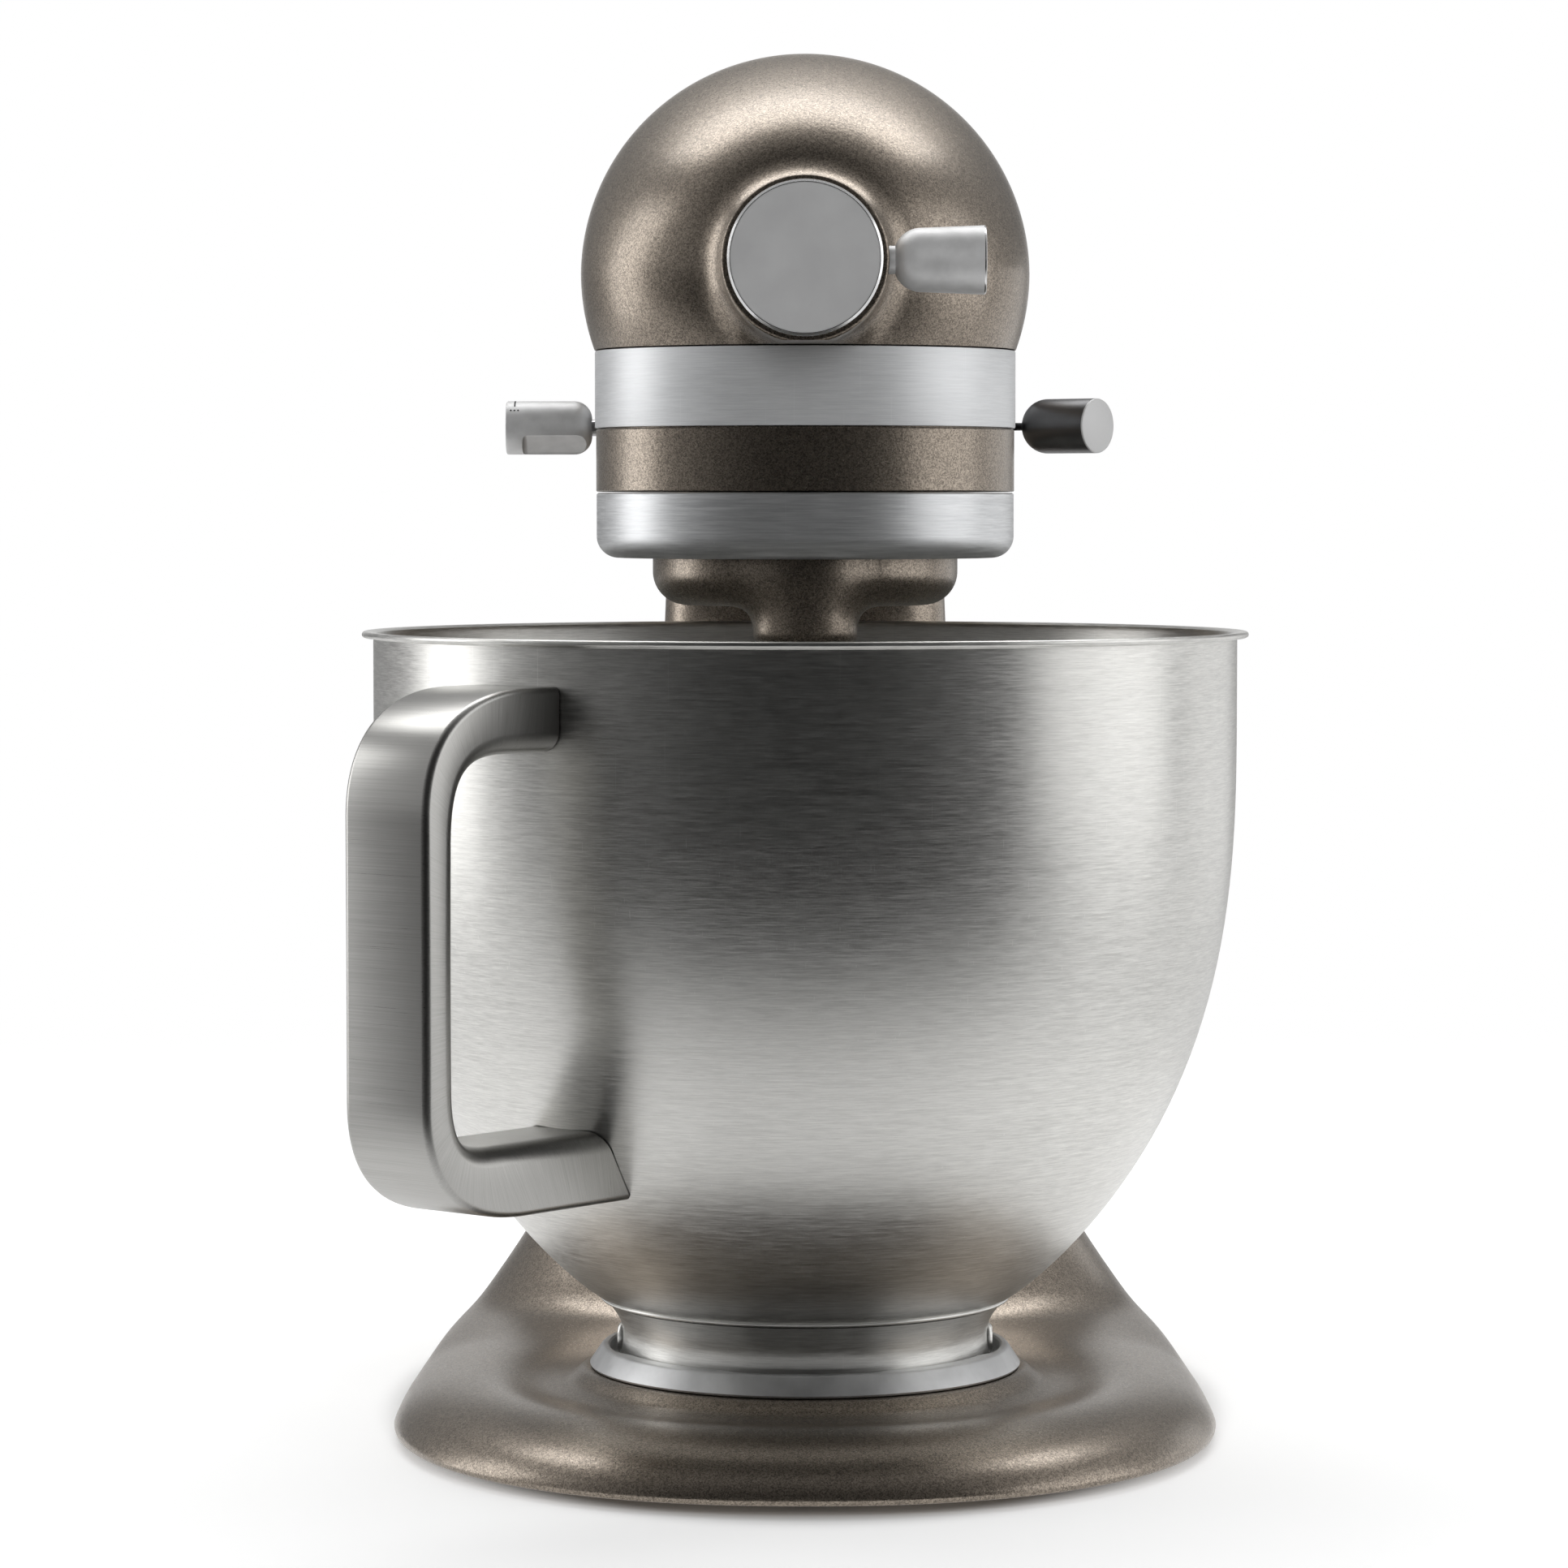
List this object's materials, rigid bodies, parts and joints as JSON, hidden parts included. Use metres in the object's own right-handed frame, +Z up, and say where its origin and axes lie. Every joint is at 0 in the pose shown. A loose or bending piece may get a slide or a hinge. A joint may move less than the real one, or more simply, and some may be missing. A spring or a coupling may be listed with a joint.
{
  "type": "stand mixer",
  "caption": "Tilt-head stand mixer with a one-handle steel bowl on a locking plate, planetary beater drive, front accessory hub, speed lever and head lock lever.",
  "frame": {"origin": "on the floor under the middle of the machine's bounding box, with the rubber feet's undersides at z = 0", "axes": "+Z up; +Y from the accessory hub at the front to the rear cover; +X to the right when the hub is seen from the front, the side of the thumb-screw and the speed lever"},
  "size_m": [0.226, 0.3702, 0.3553],
  "materials": {
    "body_paint": "bronze metallic enamel, glossy, fine flake",
    "brushed_trim": "brushed",
    "cast_trim": "bead-blasted satin",
    "bowl_steel": "brushed round the bowl",
    "machined_steel": "machined",
    "dark_steel": "dark satin",
    "grey_disc": "flat grey face with a bright chamfer",
    "foot_rubber": "matt",
    "black_plastic": "matt"
  },
  "bodies": {
    "base": {"base_casting": "body_paint", "foot_front": "foot_rubber", "foot_left": "foot_rubber", "foot_right": "foot_rubber", "foot_rear_left": "foot_rubber", "foot_rear_right": "foot_rubber", "clamp_plate": "cast_trim", "pedestal_column": "body_paint", "hinge_pin": "machined_steel"},
    "head": {"lower_housing": "body_paint", "trim_band": "brushed_trim", "upper_housing": "body_paint", "rear_cover": "body_paint", "drip_ring": "brushed_trim", "ring_gear": "machined_steel", "brush_cap_left": "black_plastic", "brush_cap_right": "black_plastic", "cord_gland": "black_plastic"},
    "planetary": {"planetary_carrier": "body_paint", "centre_shaft": "machined_steel"},
    "beater": {"beater_shaft": "machined_steel", "beater_pinion": "machined_steel", "beater_cross_pin": "machined_steel"},
    "hub_drive": {"hub_drive": "machined_steel"},
    "hub_cover": {"hub_cover": "grey_disc"},
    "thumb_screw": {"thumb_screw": "cast_trim"},
    "speed_lever": {"speed_lever": "dark_steel", "speed_knob": "cast_trim"},
    "lock_lever": {"lock_lever": "machined_steel", "lock_knob": "cast_trim"},
    "lock_pin": {"lock_pin": "machined_steel"},
    "bowl": {"bowl_shell": "bowl_steel", "bowl_foot": "bowl_steel", "bowl_handle": "bowl_steel"}
  },
  "joints": [
    {"name": "head_tilt", "type": "hinge", "parent": "base", "child": "head", "pos_m": [0, 0.1239, 0.224], "axis": [-1, 0, 0], "range_deg": [0, 35]},
    {"name": "planetary_spin", "type": "hinge", "parent": "head", "child": "planetary", "pos_m": [0, -0.0561, 0.22], "axis": [0, 0, 1], "continuous": true},
    {"name": "beater_spin", "type": "hinge", "parent": "planetary", "child": "beater", "pos_m": [0, -0.08535, 0.2], "axis": [0, 0, 1], "continuous": true},
    {"name": "hub_drive_spin", "type": "hinge", "parent": "head", "child": "hub_drive", "pos_m": [0, -0.0997, 0.2982], "axis": [0, 1, 0], "continuous": true},
    {"name": "hub_cover_pull", "type": "slide", "parent": "head", "child": "hub_cover", "axis": [0, -1, 0], "range_m": [0, 0.04]},
    {"name": "thumb_screw_turn", "type": "hinge", "parent": "head", "child": "thumb_screw", "pos_m": [0.03, -0.1321, 0.2982], "axis": [1, 0, 0], "range_deg": [0, 720]},
    {"name": "speed_lever_swing", "type": "hinge", "parent": "head", "child": "speed_lever", "pos_m": [0.034, 0.0399, 0.2605], "axis": [0, 0, 1], "range_deg": [0, 70]},
    {"name": "lock_lever_swing", "type": "hinge", "parent": "head", "child": "lock_lever", "pos_m": [-0.04, 0.0439, 0.2605], "axis": [0, 0, -1], "range_deg": [0, 30]},
    {"name": "lock_pin_drop", "type": "slide", "parent": "head", "child": "lock_pin", "axis": [0, 0, -1], "range_m": [0, 0.01]},
    {"name": "bowl_turn", "type": "hinge", "parent": "base", "child": "bowl", "pos_m": [0, -0.0561, 0.1], "axis": [0, 0, -1], "range_deg": [0, 32]}
  ],
  "couplings": [
    {"joint": "beater_spin", "follows": "planetary_spin", "ratio": -4.2143},
    {"joint": "hub_drive_spin", "follows": "planetary_spin", "ratio": -1},
    {"joint": "lock_pin_drop", "follows": "lock_lever_swing", "m_per_rad": 0.019099}
  ]
}
